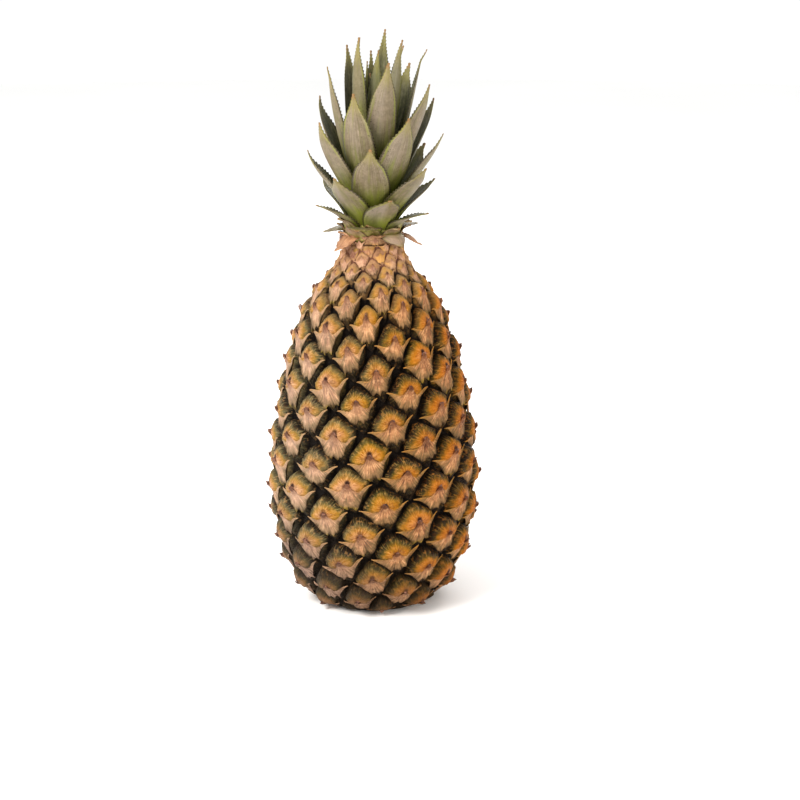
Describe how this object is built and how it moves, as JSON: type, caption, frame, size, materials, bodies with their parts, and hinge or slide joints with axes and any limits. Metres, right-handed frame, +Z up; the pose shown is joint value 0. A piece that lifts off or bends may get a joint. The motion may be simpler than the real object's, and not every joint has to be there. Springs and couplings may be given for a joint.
{
  "type": "pineapple",
  "caption": "Whole ripe pineapple standing on its base: a tapering fruit covered in spiralling spined eyes, with a crown of saw-edged grey-green leaves.",
  "frame": {"origin": "on the resting face, at the middle of the cut stalk", "axes": "+Z up through the fruit and its crown, -Y towards the side that the picture shows"},
  "size_m": [0.1248, 0.1252, 0.3315],
  "materials": {
    "skin": "rough waxy rind, yellow-orange domes, black creases, tan dry bracts",
    "stalk": "cut fibrous stalk",
    "leaf": "grey-green, powdery, finely striped",
    "dry_leaf": "papery, pinkish brown",
    "crown_stem": "pale green, fibrous"
  },
  "bodies": {
    "root": {"fruit": "skin", "stalk": "stalk", "crown_stem": "crown_stem", "crown_leaf_01": "dry_leaf", "crown_leaf_02": "dry_leaf", "crown_leaf_03": "dry_leaf", "crown_leaf_04": "dry_leaf", "crown_leaf_05": "leaf", "crown_leaf_06": "leaf", "crown_leaf_07": "leaf", "crown_leaf_08": "leaf", "crown_leaf_09": "leaf", "crown_leaf_10": "leaf", "crown_leaf_11": "leaf", "crown_leaf_12": "leaf", "crown_leaf_13": "leaf", "crown_leaf_14": "leaf", "crown_leaf_15": "leaf", "crown_leaf_16": "leaf", "crown_leaf_17": "leaf", "crown_leaf_18": "leaf", "crown_leaf_19": "leaf", "crown_leaf_20": "leaf", "crown_leaf_21": "leaf", "crown_leaf_22": "leaf", "crown_leaf_23": "leaf", "crown_leaf_24": "leaf", "crown_leaf_25": "leaf", "crown_leaf_26": "leaf", "crown_leaf_27": "leaf", "crown_leaf_28": "leaf", "crown_leaf_29": "leaf", "crown_leaf_30": "leaf", "crown_leaf_31": "leaf", "crown_leaf_32": "leaf", "crown_leaf_33": "leaf", "crown_leaf_34": "leaf", "crown_leaf_35": "leaf", "crown_leaf_36": "leaf", "crown_leaf_37": "leaf", "crown_leaf_38": "leaf", "crown_leaf_39": "leaf", "crown_leaf_40": "leaf", "crown_leaf_41": "leaf", "crown_leaf_42": "leaf", "crown_leaf_43": "leaf", "crown_leaf_44": "leaf", "crown_leaf_45": "leaf", "crown_leaf_46": "leaf", "crown_leaf_47": "leaf", "crown_leaf_48": "leaf"}
  },
  "joints": []
}
